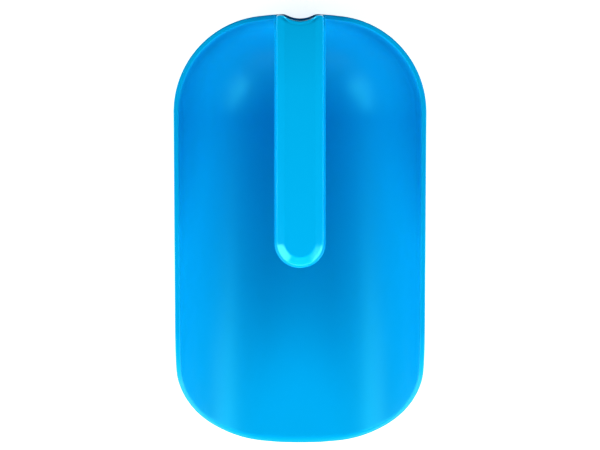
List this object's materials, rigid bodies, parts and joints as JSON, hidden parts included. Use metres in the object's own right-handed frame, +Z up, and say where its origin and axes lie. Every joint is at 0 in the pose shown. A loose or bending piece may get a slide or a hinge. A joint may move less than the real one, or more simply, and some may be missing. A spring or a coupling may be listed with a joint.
{
  "type": "feed scoop",
  "caption": "Open-mouthed moulded plastic feed scoop with a beaded rim, a steep rounded mouth and a hollow bevelled handle that runs forward over the bowl.",
  "frame": {"origin": "under the middle of the scoop, on the surface that it stands on", "axes": "+Z up, +Y towards the handle's root and the back wall, -Y towards the scooping lip, X across; the object is symmetric about X = 0"},
  "size_m": [0.1664, 0.2901, 0.118],
  "materials": {
    "bowl": "semi-gloss moulded polypropylene, azure blue",
    "handle": "semi-gloss moulded polypropylene, azure blue"
  },
  "bodies": {
    "root": {"bowl": "bowl", "handle_lower_shell": "handle", "handle_upper_shell": "handle"}
  },
  "joints": []
}
